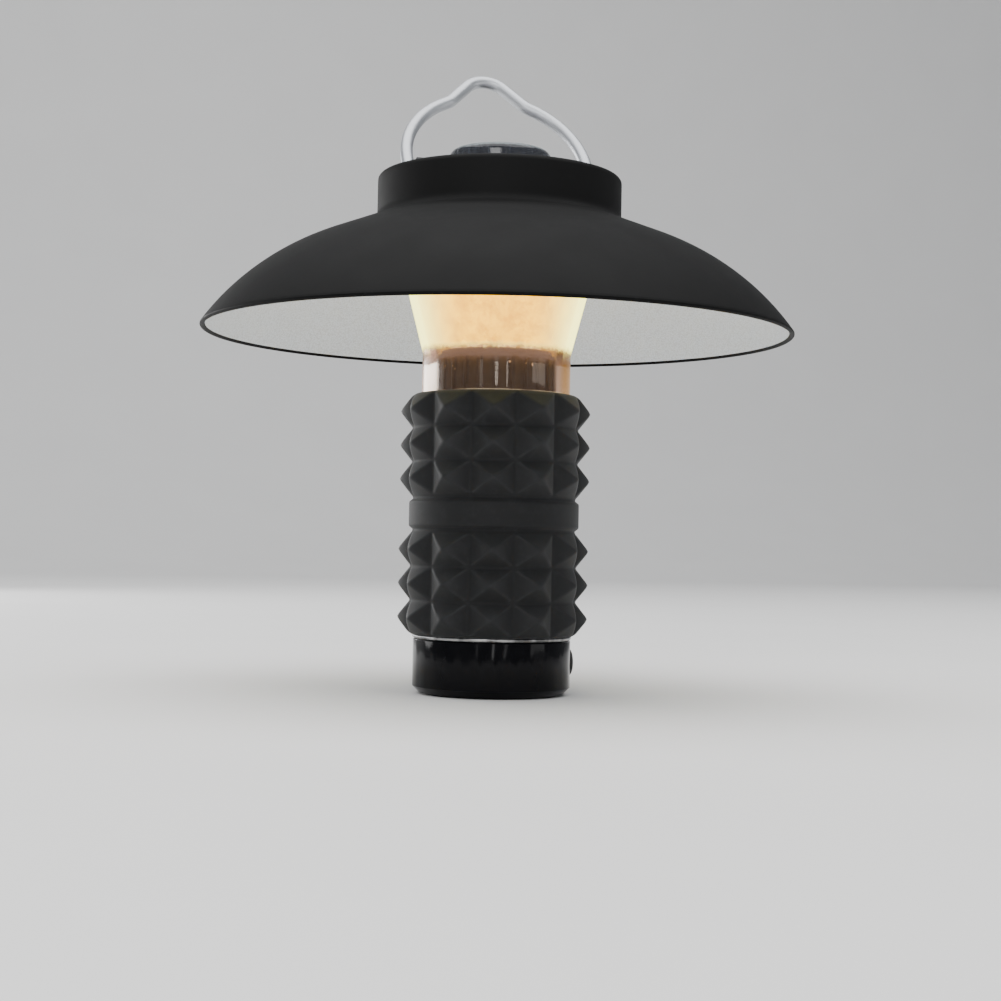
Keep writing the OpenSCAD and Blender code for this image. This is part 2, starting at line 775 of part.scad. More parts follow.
// Inner face is a parabola of revolution, and the outer face lies dish_t outside it
module torch_reflector() {
    focus = pow(dish_top_r, 2) / (4 * (dish_h + dish_vertex));
    function dish_r(z) = sqrt(4 * focus * (z + dish_vertex));
    inside = [for (i = [0:10]) [dish_r(dish_h * i / 10), dish_h * i / 10]];
    color("#e8eaee") translate([0, 0, torch_pcb_top]) rotate_extrude() polygon(concat(
        inside, [for (i = [10:-1:0]) inside[i] + [dish_t, 0]]
    ));
}

module torch_lens() {
    pane_z = torch_top - torch_pane_t;
    skirt_ri = torch_r - 0.7;
    color("#dfe6ea", 0.5) rotate_extrude() polygon([
        [0, pane_z], [skirt_ri, pane_z], [skirt_ri, cap_top - 1.4], [torch_r, cap_top - 1.4],
        [torch_r, cap_top - torch_flange_t], [torch_flange_r, cap_top - torch_flange_t],
        [torch_flange_r, cap_top], [torch_r, cap_top],
        for (a = [0:15:90])
            [torch_r - torch_round + torch_round * cos(a), torch_top - torch_round + torch_round * sin(a)],
        [0, torch_top]
    ]);
}

module torch_bezel() {
    color("#c9ccd1") translate([0, 0, cap_top]) rotate_extrude() polygon([
        [torch_r + slip, 0], [bezel_r, 0], [bezel_r, bezel_h - 0.4],
        [bezel_r - 0.4, bezel_h], [torch_r + slip, bezel_h]
    ]);
}

// ---- Bail ----

// Wire bend of radius r about a point, from angle a0 through turn
module bend(centre, r, a0, turn) {
    translate([centre[0], 0, centre[1]]) rotate([90, 0, 0]) rotate(a0)
        rotate_extrude(angle = turn) translate([r, 0]) circle(r = wire_r, $fn = wire_sides);
}

// Straight wire from a point, leaning lean degrees from upright towards the middle. It
// is a hair thinner than the bends and dips into the bend at each end.
module run(start, lean, length) {
    translate([start[0], 0, start[1]]) rotate([0, -lean, 0]) translate([0, 0, -dip])
        cylinder(r = straight_r, h = length + 2 * dip, $fn = wire_sides);
}

// One side of the bail, from its pin to the rise of the hump
module bail_side() {
    bar_x(straight_r, ear_x + 0.2, leg_x - elbow_r + dip, 0);
    bend([leg_x - elbow_r, elbow_r], elbow_r, -90, 90);
    run([leg_x, elbow_r], 0, leg_h - elbow_r);
    bend(p_shoulder, shoulder_r, 0, shoulder_turn);
    run(p_run, shoulder_turn, shoulder_run);
    bend(p_foot_centre, hump_r, 180 + hump_angle, hump_turn);
    run(p_rise, hump_angle, hump_run);
}

module bail() {
    color("#d4d7db") translate([0, 0, pivot_z]) rotate([-bail_lean, 0, 0]) {
        bail_side();
        mirror([1, 0, 0]) bail_side();
        bend(p_crest_centre, crest_r, hump_angle, 180 - 2 * hump_angle);
    }
}

// ---- Shade ----

// Point of the dome at a slope, inset from the outer face
function dome_point(slope, inset) =
    [arc_r, arc_z] + (dome_r - inset) * [sin(slope), cos(slope)];

// Where the straight crown of the dome, inset from the outer face, meets radius r
function crown_point(r, inset) =
    [r, dome_point(crown_slope, inset)[1] + (dome_point(crown_slope, inset)[0] - r) * tan(crown_slope)];

module shade() {
    slopes = [for (i = [0:20]) rim_slope + (crown_slope - rim_slope) * i / 20];
    collar_ri = collar_r - shade_wall;
    inner_round = collar_round - shade_wall;
    color("#2d2d2e") rotate_extrude() polygon(concat(
        [for (s = slopes) dome_point(s, 0)],
        [crown_point(collar_r, 0)],
        [for (a = [0:15:90]) [collar_r - collar_round + collar_round * cos(a),
            lip_top - collar_round + collar_round * sin(a)]],
        [[hole_r, lip_top], [hole_r, lip_z]],
        [for (a = [90:-15:0]) [collar_r - collar_round + inner_round * cos(a),
            lip_top - collar_round + inner_round * sin(a)]],
        [crown_point(collar_ri, shade_wall)],
        [for (i = [20:-1:0]) dome_point(slopes[i], shade_wall)]
    ));
}

foot_pad();
base_cap();
base_screws();
trim_ring();
control_board();
board_chips();
usb_port();
usb_tongue();
usb_cover();
charge_light();
power_button();
switch_plunger();
tact_switch();
barrel();
grip_sleeve();
battery_tube();
battery_cell();
battery_contact();
contact_spring();
positive_contact();
contact_insulator();
board_leads();
led_carrier();
led_board();
led_chips();
lens();
lens_seal();
reflector_cone();
torch_leads();
cap_gasket();
top_cap();
torch_board();
torch_led();
torch_screws();
torch_reflector();
torch_lens();
torch_bezel();
bail();
shade();
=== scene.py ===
import json
import math

import bmesh
import bpy
import numpy as np
from mathutils import Matrix, Vector

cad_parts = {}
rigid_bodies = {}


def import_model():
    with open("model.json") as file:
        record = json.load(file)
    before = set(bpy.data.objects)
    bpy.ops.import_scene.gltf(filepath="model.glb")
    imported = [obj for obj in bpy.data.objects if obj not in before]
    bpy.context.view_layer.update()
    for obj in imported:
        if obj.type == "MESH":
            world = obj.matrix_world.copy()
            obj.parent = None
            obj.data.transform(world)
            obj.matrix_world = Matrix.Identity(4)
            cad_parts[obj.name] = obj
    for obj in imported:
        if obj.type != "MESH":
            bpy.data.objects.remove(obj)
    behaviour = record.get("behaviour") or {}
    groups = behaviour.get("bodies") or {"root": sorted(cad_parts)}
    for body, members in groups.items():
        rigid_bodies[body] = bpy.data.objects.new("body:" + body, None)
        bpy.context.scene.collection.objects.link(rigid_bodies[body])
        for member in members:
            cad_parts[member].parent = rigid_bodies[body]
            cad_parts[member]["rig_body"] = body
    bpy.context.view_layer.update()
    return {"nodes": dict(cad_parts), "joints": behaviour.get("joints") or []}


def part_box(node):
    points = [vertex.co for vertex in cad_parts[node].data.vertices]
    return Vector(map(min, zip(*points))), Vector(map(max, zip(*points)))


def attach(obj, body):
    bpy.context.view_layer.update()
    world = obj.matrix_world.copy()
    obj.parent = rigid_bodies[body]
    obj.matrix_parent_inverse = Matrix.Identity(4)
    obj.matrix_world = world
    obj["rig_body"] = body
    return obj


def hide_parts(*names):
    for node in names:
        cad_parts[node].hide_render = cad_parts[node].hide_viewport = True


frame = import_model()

# A small camping lantern. Sizes below are millimetres, and meshes are made in metres.
MM = 0.001
TAU = 2 * math.pi

# In metres: how close points are that are one point, in new meshes and in the CAD's own, and
# the length of an edge that counts as none
SAME_POINT = 1e-7
SAME_CAD_POINT = 2e-6
NO_LENGTH = 1e-8

# Half of a corner's angle, in radians, from which it counts as straight
NEARLY_STRAIGHT = 1.56


def span(node):
    """Lowest and highest corner of a CAD node, in millimetres."""
    low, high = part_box(node)
    return np.array(low) / MM, np.array(high) / MM


# Heights and radii read from the frame
shade_high = span("shade")[1]
grip_low, grip_high = span("grip_sleeve")
lens_low, lens_high = span("lens")
torch_low, torch_high = span("torch_lens")
cap_top = span("torch_bezel")[0][2]
led_top = span("led_board")[1][2]
barrel_top = span("barrel")[1][2]
bail_joint = next(j for j in frame["joints"] if j["name"] == "bail_swing")
pivot_z = bail_joint["pos_m"][2] / MM

# Shade. Its white coat is on the faces that look down or inward, by a normal below FACES_IN,
# and ends short of the top and of the rim, where the black laps round the cut edge.
SHADE_R = 55.6
SHADE_WALL = 0.8
FACES_IN = -0.2
WHITE_FROM_TOP = 2.2
PAINT_LAP = 0.8
CUT_EDGE_W = 0.3
DOME_R = 48.0
RIM_SLOPE = math.radians(55)
CROWN_SLOPE = math.radians(21.5)
COLLAR_R = 23.05
COLLAR_H = 8.2
COLLAR_ROUND = 1.0
COLLAR_FOOT = 2.0
LIP_R = 19.95

# Grip. Studs in rows, whose foot, tip and blend are shares of their height and spacing
GRIP_BORE = 14.05
GRIP_R = 15.5
STUDS = 12
STUD_ROWS = 3
STUD_STEPS = 24
STUD_H = 2.5
STUD_BLEND = 0.045
STUD_FOOT = 0.08
STUD_TIP = 0.86
TIP_WORN = 0.05
CREASE_W = 0.13
BAND_W = 5.0
BAND_STEPS = 25
BAND_PROUD = 0.5
BAND_EDGE = 0.5
BAND_GROOVE = 0.9
GROOVE_DEPTH = 0.25
GROOVE_EASE = 0.35
GRIP_LIP = 0.45
GRIP_LIP_H = 0.5

# Lens
LENS_R = 13.95
LENS_WALL = 1.5
LENS_SPIGOT_R = 12.6
LENS_SPIGOT_RI = 11.2
SPIGOT_RISE = 0.8
SPIGOT_DROP = 0.4
FLARE_SLOPE = math.radians(14.6)
FLARE_BEND = 1.0
FLARE_START = 1.3
LENS_RIM_H = 2.0

# Torch lens
TORCH_FLANGE_W = 0.9
TORCH_FLANGE_H = 0.7
TORCH_SKIRT = 0.7
TORCH_PANE = 3.2
TORCH_BROW = 1.5

# Bail. The pin's end is rounded: how far along it lies, and what share of the radius it has.
# Each bend has a radius, a turn in degrees and a straight run after it.
WIRE_R = 1.19
WIRE_SIDES = 24
WIRE_POINTS = 260
WIRE_EASE = 5
PIN_X = 13.15
PIN_ALONG = (0, 0.12, 0.4)
PIN_SHARE = (0.55, 0.9, 1)
LEG_X = 17.65
LEG_BEND, LEG_RUN = 1.3, 2.0
SHOULDER_BEND, SHOULDER_TURN, SHOULDER_RUN = 18, 60, 0.5
NECK_BEND, NECK_TURN, NECK_RUN = 4.4, 20, 5.4
HUMP_BEND, HUMP_TURN = 4.67, 50
BAIL_LEAN = math.radians(34)


# ---- Meshes ----

def grid_faces(rows, columns, wrap_rows=False, wrap_columns=False):
    """Quads between neighbours of a grid of points numbered row by row."""
    r, c = np.meshgrid(np.arange(rows if wrap_rows else rows - 1),
                       np.arange(columns if wrap_columns else columns - 1), indexing="ij")
    r2, c2 = (r + 1) % rows, (c + 1) % columns
    quads = [r * columns + c, r * columns + c2, r2 * columns + c2, r2 * columns + c]
    return np.stack(quads, -1).reshape(-1, 4)


def shade_smooth(mesh, sharp):
    """Smooth faces, with edges sharper than an angle in degrees kept crisp."""
    mesh.shade_smooth()
    mesh.set_sharp_from_angle(angle=math.radians(sharp))


def tidy(mesh):
    """Merges points that lie on each other, drops what they flatten, and turns faces outward."""
    bm = bmesh.new()
    bm.from_mesh(mesh)
    bmesh.ops.remove_doubles(bm, verts=bm.verts, dist=SAME_POINT)
    bmesh.ops.dissolve_degenerate(bm, edges=bm.edges, dist=NO_LENGTH)
    bmesh.ops.recalc_face_normals(bm, faces=bm.faces)
    bm.to_mesh(mesh)
    bm.free()


def piece(name, points, faces, body, node, slot, finishes, pick=None, sharp=35):
    """A new piece from points in millimetres, which stands for a CAD node. pick gives
    each face's finish from the middles and normals of the faces."""
    mesh = bpy.data.meshes.new(name)
    mesh.from_pydata((points * MM).tolist(), [], faces.tolist())
    tidy(mesh)
    for finish in finishes:
        mesh.materials.append(finish)
    if pick is not None:
        middle, normal = np.zeros((2, len(mesh.polygons) * 3))
        mesh.polygons.foreach_get("center", middle)
        mesh.polygons.foreach_get("normal", normal)
        choice = pick(middle.reshape(-1, 3) / MM, normal.reshape(-1, 3))
        mesh.polygons.foreach_set("material_index", choice.astype(np.int32))
    shade_smooth(mesh, sharp)
    return place(bpy.data.objects.new(name, mesh), body, node, slot)


def place(obj, body, node, slot):
    """Links a finished piece, says what body it rides on, and hides the CAD node it takes the place
    of.
    """
    bpy.context.scene.collection.objects.link(obj)
    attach(obj, body)
    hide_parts(node)
    return obj


def lathe(profile, steps):
    """Points and faces of a closed profile turned about Z: (r cos t, r sin t, z)."""
    t = np.arange(steps) / steps * TAU
    r, z = profile[:, :1], np.repeat(profile[:, 1:], steps, 1)
    points = np.stack([r * np.cos(t), r * np.sin(t), z], -1).reshape(-1, 3)
    return points, grid_faces(len(profile), steps, wrap_rows=True, wrap_columns=True)


def arc(centre, radius, start, end, steps):
    """Points of an arc between two angles in radians."""
    a = np.linspace(start, end, steps)
    return np.array(centre) + radius * np.stack([np.cos(a), np.sin(a)], -1)


def rounded(corners, steps):
    """A closed outline whose corners (r, z, radius) become arcs that touch both sides."""
    out = []
    for i, (r, z, radius) in enumerate(corners):
        here = np.array([r, z])
        before, after = (np.array(corners[(i + k) % len(corners)][:2]) - here for k in (-1, 1))
        before, after = before / np.linalg.norm(before), after / np.linalg.norm(after)
        half = math.acos(np.clip(before @ after, -1, 1)) / 2
        if radius == 0 or half > NEARLY_STRAIGHT:
            out.append(here[None])
            continue
        middle = here + (before + after) / np.linalg.norm(before + after) * radius / math.sin(half)
        first, last = (here + way * radius / math.tan(half) for way in (before, after))
        a0, a1 = (math.atan2(*(p - middle)[::-1]) for p in (first, last))
        out.append(arc(middle, radius, a0, a0 + (a1 - a0 + math.pi) % TAU - math.pi, steps))
    return np.concatenate(out)


def refine(node, slot, finish, bevel=0.0):
    """A merged copy of a CAD node's mesh with smooth faces, and with edges rounded to bevel
    millimetres, in its place."""
    cad = frame["nodes"][node]
    mesh = cad.data.copy()
    mesh.materials.clear()
    bm = bmesh.new()
    bm.from_mesh(mesh)
    bmesh.ops.remove_doubles(bm, verts=bm.verts, dist=SAME_CAD_POINT)
    bm.to_mesh(mesh)
    bm.free()
    mesh.materials.append(finish)
    shade_smooth(mesh, 30)
    obj = bpy.data.objects.new(node + "_finished", mesh)
    if bevel:
        edge = obj.modifiers.new("edge", "BEVEL")
        edge.width, edge.segments, edge.angle_limit = bevel * MM, 2, math.radians(40)
        edge.limit_method, edge.harden_normals = "ANGLE", True
    place(obj, cad["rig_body"], node, slot)


def dress(node, finish):
    """Gives a CAD node that keeps its own shape a finish."""
    mesh = frame["nodes"][node].data
    mesh.materials.clear()
    mesh.materials.append(finish)


# ---- Finishes ----

class Value:
    """A number or colour inside a finish. Python's operators add Math nodes."""

    def __init__(self, finish, socket):
        self.finish, self.socket = finish, socket

    def math(self, operation, *values):
        return self.finish.node("ShaderNodeMath", {"operation": operation}, dict(enumerate(values)))

    def __add__(self, other):
        return self.math("ADD", self, other)

    def __sub__(self, other):
        return self.math("SUBTRACT", self, other)

    def __rsub__(self, other):
        return self.math("SUBTRACT", other, self)

    def __mul__(self, other):
        return self.math("MULTIPLY", self, other)

    def clipped(self):
        return self.math("MINIMUM", self.math("MAXIMUM", self, 0.0), 1.0)

    def step(self, low, high):
        """0 below low, 1 above high, with a smooth rise between."""
        return self.finish.node("ShaderNodeMapRange", {"interpolation_type": "SMOOTHSTEP"},
                                {"Value": self, "From Min": low, "From Max": high})

    __radd__, __rmul__ = __add__, __mul__


class Finish:
    """One material on Object coordinates, with named values for its shader."""

    def __init__(self, name, **constants):
        self.material = bpy.data.materials.new(name)
        self.material.use_nodes = True
        self.tree = self.material.node_tree
        self.tree.nodes.clear()
        self.shader = self.tree.nodes.new("ShaderNodeBsdfPrincipled")
        result = self.tree.nodes.new("ShaderNodeOutputMaterial")
        self.tree.links.new(self.shader.outputs[0], result.inputs[0])
        for socket, value in constants.items():
            self.shader.inputs[socket.replace("_", " ")].default_value = value

    def node(self, kind, settings, inputs, output=0):
        """Adds any node: its settings first, then the values or links of its sockets."""
        made = self.tree.nodes.new(kind)
        for key, value in settings.items():
            setattr(made, key, value)
        for key, value in inputs.items():
            if isinstance(value, Value):
                self.tree.links.new(value.socket, made.inputs[key])
            else:
                made.inputs[key].default_value = value
        return Value(self, made.outputs[output])

    def where(self):
        """Object coordinates, in metres."""
        return self.node("ShaderNodeTexCoord", {}, {}, 3)

    def axes(self):
        """The x, y and z of a point as three values, in millimetres."""
        place = self.where()
        return [self.node("ShaderNodeSeparateXYZ", {}, {0: place}, i) * (1 / MM) for i in range(3)]

    def noise(self, size, detail, stretch=(1, 1, 1), rough=0.5):
        """Noise with features of a size in millimetres, drawn out along the axes by stretch."""
        at = self.node("ShaderNodeMapping", {}, {"Vector": self.where(),
                       "Scale": [1 / (size * MM * s) for s in stretch]})
        return self.node("ShaderNodeTexNoise", {}, {"Vector": at, "Scale": 1.0, "Detail": detail,
                                                    "Roughness": rough})

    def grains(self, size):
        """Distance to the nearest of scattered points, spaced by a size in millimetres."""
        return self.node("ShaderNodeTexVoronoi", {},
                         {"Vector": self.where(), "Scale": 1 / (size * MM)})

    def edge_on(self, blend):
        """Thickness of a clear wall: 0 where it is looked at squarely, 1 where edge on."""
        return self.node("ShaderNodeLayerWeight", {}, {"Blend": blend}, 1)

    def attribute(self, name):
        """A value that the mesh carries at its points."""
        return self.node("ShaderNodeAttribute", {"attribute_name": name}, {}, 2)

    def between(self, amount, low, high):
        """The colour low where amount is 0 and high where it is 1."""
        return self.node("ShaderNodeMix", {"data_type": "RGBA"}, {0: amount, 6: low, 7: high}, 2)

    def bump(self, height, depth):
        """Relief from a height of 0 to 1 that is depth millimetres deep."""
        self.feed("Normal", self.node("ShaderNodeBump", {}, {"Height": height, "Strength": 1.0,
                                                             "Distance": depth * MM}))

    def feed(self, socket, value):
        self.tree.links.new(value.socket, self.shader.inputs[socket])


def grey(value, tint=(1, 1, 1)):
    """A linear grey with an optional tint, as a socket's colour."""
    return (value * tint[0], value * tint[1], value * tint[2], 1)


# Tints of greys: cold white paint, stainless wire, blue-black silicone and gloss, brown plate
COOL = (0.84, 0.94, 1.06)
STEEL = (0.97, 1, 1.04)
INK = (0.95, 0.99, 1.08)
NIGHT = (1, 1, 1.3)
BROWN = (1, 0.6, 0.4)
DARK = (0.0, 0.0, 0.0, 1)


def powder_coat():
    """Matt black powder paint: fine orange peel, faint mottling, a dusting of finer grain."""
    f = Finish("powder_coat", Specular_IOR_Level=0.11)
    cloud, grain = f.noise(9, 3), f.noise(0.22, 2)
    f.feed("Base Color", f.between(cloud * 0.6 + grain * 0.4, grey(0.0034), grey(0.006)))
    f.feed("Roughness", 0.56 + cloud * 0.12 + grain * 0.06)
    f.bump(f.noise(0.55, 1) * 0.6 + grain * 0.4, 0.012)
    return f.material


def speckle_coat():
    """White textured coat: small raised grains with grey in the hollows between them."""
    f = Finish("speckle_coat", Specular_IOR_Level=0.35)
    grain, fine, cloud = f.grains(0.34), f.noise(0.2, 3, rough=0.7), f.noise(14, 2)
    pits = (grain * 0.5 + fine * 0.9).step(0.45, 0.95)
    f.feed("Base Color", f.between(pits * 0.75 + cloud * 0.15, grey(0.9, COOL), grey(0.62, COOL)))
    f.feed("Roughness", 0.55 + fine * 0.2)
    f.bump(fine * 0.6 + grain * 0.4, 0.06)
    return f.material


def rim_paint():
    """Black paint on the shade's cut edge, a little glossier where it is thin."""
    f = Finish("rim_paint", Specular_IOR_Level=0.08)
    wear = f.noise(2.5, 3)
    f.feed("Base Color", f.between(wear.step(0.55, 0.8), grey(0.0025), grey(0.006)))
    f.feed("Roughness", 0.5 + wear * 0.15)
    f.bump(f.noise(0.4, 1), 0.008)
    return f.material


def wire_steel():
    """Satin stainless wire with fine drawn lines and soft smudges."""
    f = Finish("wire_steel", Metallic=1.0, IOR=2.5)
    lines, smudge = f.noise(0.16, 2, (6, 6, 6)), f.noise(3.2, 3)
    f.feed("Base Color", f.between(smudge * 0.6 + lines * 0.4, grey(0.43, STEEL), grey(0.6, STEEL)))
    f.feed("Roughness", 0.36 + smudge * 0.12 + lines * 0.08)
    f.bump(f.noise(1.2, 2), 0.004)
    return f.material


def silicone():
    """Matt black silicone: a soft sheen, faint dust, stud tips and creases painted lighter, partly
    as wear and partly as a highlight, and a very fine skin.
    """
    f = Finish("silicone", Specular_IOR_Level=0.25, Sheen_Weight=0.08, Sheen_Roughness=0.5)
    dust, skin, ridge = f.noise(1.6, 4, rough=0.65), f.noise(0.12, 2), f.attribute("ridge")
    # Stud tips and creases painted lighter: partly wear, partly a painted highlight
    pale = dust.step(0.45, 0.8) * 0.55 + ridge * 0.75
    f.feed("Base Color", f.between(pale, grey(0.007, INK), grey(0.015, INK)))
    f.feed("Roughness", 0.62 - ridge * 0.16 + skin * 0.1)
    f.bump(skin * 0.5 + dust * 0.5, 0.02)
    return f.material


def soft_rubber():
    """Plain black rubber of the foot pad and the port cover."""
    f = Finish("soft_rubber", Specular_IOR_Level=0.3)
    dust, skin = f.noise(1.2, 4, rough=0.6), f.noise(0.15, 2)
    f.feed("Base Color", f.between(dust.step(0.4, 0.8), grey(0.011), grey(0.022)))
    f.feed("Roughness", 0.6 + skin * 0.15)
    f.bump(skin, 0.015)
    return f.material


def gloss_black():
    """Polished black moulding with faint smears and hairline scuffs."""
    f = Finish("gloss_black", Specular_IOR_Level=0.1)
    smear, scuff = f.noise(6, 3, (1, 1, 0.5)), f.noise(0.2, 2, (8, 8, 1))
    f.feed("Base Color", f.between(smear, grey(0.002, NIGHT), grey(0.004, NIGHT)))
    f.feed("Roughness", 0.1 + smear.step(0.45, 0.75) * 0.12 + scuff.step(0.6, 0.8) * 0.08)
    f.bump(scuff, 0.003)
    return f.material


def satin_black(name="satin_black", tone=0.012):
    """Spark-eroded black plastic of the cap and the button."""
    f = Finish(name, Specular_IOR_Level=0.45)
    grain, cloud = f.noise(0.18, 2), f.noise(5, 3)
    f.feed("Base Color", f.between(cloud, grey(tone), grey(tone * 1.6)))
    f.feed("Roughness", 0.36 + grain * 0.12 + cloud * 0.08)
    f.bump(grain, 0.012)
    return f.material


def turned_metal(name, tone, rough, dull=0.85):
    """Bright turned ring: lines that run round it, from stretched noise on height."""
    f = Finish(name, Metallic=1.0)
    lines, smudge = f.noise(0.09, 2, (40, 40, 1)), f.noise(2.4, 3)
    f.feed("Base Color", f.between(smudge.step(0.35, 0.65), grey(tone * dull), grey(tone)))
    f.feed("Roughness", rough + lines * 0.12 + smudge * 0.06)
    f.bump(lines, 0.004)
    return f.material


def plain_metal(name, colour, rough=0.35):
    """Plated or milled metal with small clouds and a grain."""
    f = Finish(name, Metallic=1.0)
    cloud, grain = f.noise(1.5, 3), f.noise(0.15, 2)
    f.feed("Base Color", f.between(cloud, grey(0.8, colour), grey(1.0, colour)))
    f.feed("Roughness", rough + cloud * 0.12 + grain * 0.06)
    f.bump(grain, 0.005)
    return f.material


def moulded(name, colour, rough=0.45):
    """Moulded plastic, card or laminate with slight clouding and grain."""
    f = Finish(name, Specular_IOR_Level=0.45)
    cloud, grain = f.noise(2.2, 3), f.noise(0.2, 2)
    tone = cloud * 0.7 + grain * 0.3
    f.feed("Base Color", f.between(tone, grey(0.75, colour), grey(1, colour)))
    f.feed("Roughness", rough + grain * 0.1 + cloud * 0.08)
    f.bump(grain, 0.01)
    return f.material


def tower_plastic():
    """Dark brown tube with faint flow lines, a fine grain and a few painted glints of the light
    above, drawn as glowing amber specks.
    """
    f = Finish("tower_plastic", Specular_IOR_Level=0.2, Emission_Strength=1.0)
    streak, cloud, grain = f.noise(1.4, 2, (1, 1, 10)), f.noise(1.2, 4, rough=0.65), f.noise(0.3, 2)
    tone = streak * 0.25 + cloud.step(0.35, 0.75) * 0.4 + grain * 0.35
    f.feed("Base Color", f.between(tone, (0.008, 0.005, 0.004, 1), (0.045, 0.028, 0.02, 1)))
    # Painted glints: amber specks that glow near the top, standing in for light from the lamp above
    painted_glint = f.noise(0.9, 2, (1, 1, 1.6)).step(0.69, 0.76)
    painted_glint = painted_glint * f.axes()[2].step(led_top - 5, led_top - 3)
    f.feed("Emission Color", f.between(painted_glint, DARK, (0.9, 0.5, 0.22, 1)))
    f.feed("Roughness", 0.4 + cloud * 0.2)
    f.bump(cloud, 0.02)
    return f.material


def warm_carrier(name, tone):
    """Brown anodised plate with an amber glow from the light above it painted on towards its top.
    """
    f = Finish(name, Specular_IOR_Level=0.5, Emission_Strength=1.0)
    cloud = f.noise(0.9, 4, rough=0.65)
    # Painted glow: amber emission towards the top, standing in for light from the LEDs above
    painted_glow = (f.axes()[2] + cloud * 0.5).step(led_top - 1.6, led_top + 0.2)
    f.feed("Base Color", f.between(cloud, grey(tone, BROWN), grey(tone * 2, BROWN)))
    f.feed("Emission Color", f.between(painted_glow, DARK, (0.1, 0.045, 0.02, 1)))
    f.feed("Roughness", 0.4 + cloud * 0.2)
    f.bump(cloud, 0.02)
    return f.material


# Heights where the lens turns from clear to frosted, and where the frosting starts to glow
FROST_START, FROST_FULL = 60.9, 63.2
GLOW_START, GLOW_FULL = 63.6, 65.2
GLOW = 4.2


def lens_heights(f, shift):
    """How frosted and how lit the lens is at a height, both 0 to 1, with ragged edges."""
    height = f.axes()[2] + (f.noise(1.1, 4, rough=0.7) - 0.5) * 1.8 + shift
    return height.step(FROST_START, FROST_FULL), height.step(GLOW_START, GLOW_FULL)


def lens_outside():
    """Outer face of the lens. The clear foot mirrors faintly, and is dense only where the eye
    looks along its wall, with painted amber light on its +X side and a painted glow carried in
    its wall. The frosted flare glows pale yellow, and is densest at its edges."""
    f = Finish("lens_outside", Specular_IOR_Level=0.5, IOR=1.49, Emission_Strength=GLOW)
    frosted, lit = lens_heights(f, 0.0)
    edge = f.edge_on(0.5)
    grain, cloud = f.noise(0.28, 3, rough=0.7), f.noise(3.5, 3, (1, 1, 1.8))
    wall = edge.step(0.36, 0.46) * (1 - lit)
    hazed = frosted.step(0.0, 0.12)
    above_grip = f.axes()[2].step(grip_high[2] + 0.15, grip_high[2] + 0.38)
    # A thin mottled cream band at the grip's top edge, painted as light leaking out there
    foot = (1 - above_grip) * f.noise(5, 2).step(0.35, 0.6)

    # Brown of the frosting, painted lighter towards the glow above as its light falling off
    brown = f.between(cloud * 0.5 + grain * 0.5, (0.07, 0.038, 0.026, 1), (0.28, 0.15, 0.1, 1))
    brown = f.between(frosted.step(0.1, 1.0), (0.025, 0.016, 0.012, 1), brown)
    # Painted amber light on the +X side of the clear foot, in its colour and in its glow
    painted_amber_side = f.axes()[0].step(8.5, 11.5)
    clear = f.between(painted_amber_side, (0.46, 0.4, 0.34, 1), (0.34, 0.24, 0.15, 1))
    unlit = f.between(hazed, clear, brown)
    f.feed("Base Color", f.between(lit, unlit, (0.9, 0.85, 0.66, 1)))
    f.feed("Metallic", (1 - hazed * (1 - wall)) * (1 - lit))
    f.feed("Roughness", 0.04 + frosted * (1 - wall) * 0.4 + wall * 0.16 + lit * 0.5)

    pale = f.between(cloud * 0.6 + grain * 0.4, (0.66, 0.63, 0.09, 1), (0.88, 0.86, 0.18, 1))
    # Painted glow carried down the clear wall and the frosting, and the painted cream band at the
    # grip
    painted_carried_glow = f.between(painted_amber_side, (0.1, 0.056, 0.034, 1), (0.085, 0.036, 0.002, 1))
    painted_carried_glow = f.between(frosted, painted_carried_glow, (0.03, 0.016, 0.01, 1))
    painted_carried_glow = f.between(foot, painted_carried_glow, (0.13, 0.095, 0.045, 1))
    f.feed("Emission Color", f.between(lit, painted_carried_glow, pale))
    foil = (0.08 + frosted * 0.6) * (1 - wall) + wall * 0.84 + foot * 0.5
    bright = 0.05 + edge.step(0.05, 0.8) * 0.92
    f.feed("Alpha", (foil * (1 - lit) + bright * lit).clipped())
    f.bump(grain * frosted, 0.01)
    return f.material


def lens_inside():
    """Inner face of the lens: a faint haze in the clear foot with a faint painted glow, and a
    mottled amber glow above.
    """
    f = Finish("lens_inside", Specular_IOR_Level=0.3, Emission_Strength=GLOW)
    frosted, lit = lens_heights(f, 0.2)
    mottle, fine = f.noise(2.6, 4, rough=0.6), f.noise(0.32, 3, rough=0.7)
    edge = f.edge_on(0.5)
    patch = (mottle * 0.42 + fine * 0.58).step(0.37, 0.63)
    amber = f.between(patch, (0.4, 0.15, 0.0, 1), (0.82, 0.41, 0.0, 1))
    haze = f.between(frosted, (0.12, 0.08, 0.05, 1), (0.05, 0.03, 0.02, 1))
    f.feed("Base Color", f.between(lit, haze, (0.3, 0.15, 0.02, 1)))
    f.feed("Roughness", 0.15 + frosted * 0.45)
    # A faint painted glow in the unlit wall, from the lamp above
    warm = f.between(frosted, (0.002, 0.001, 0.0, 1), (0.006, 0.003, 0.001, 1))
    f.feed("Emission Color", f.between(lit, warm, amber))
    haze_depth = (edge.step(0.35, 0.6) * 0.4 + frosted * 0.4) * (1 - lit)
    f.feed("Alpha", (0.02 + haze_depth + lit * 0.94).clipped())
    f.bump(fine * frosted, 0.02)
    return f.material


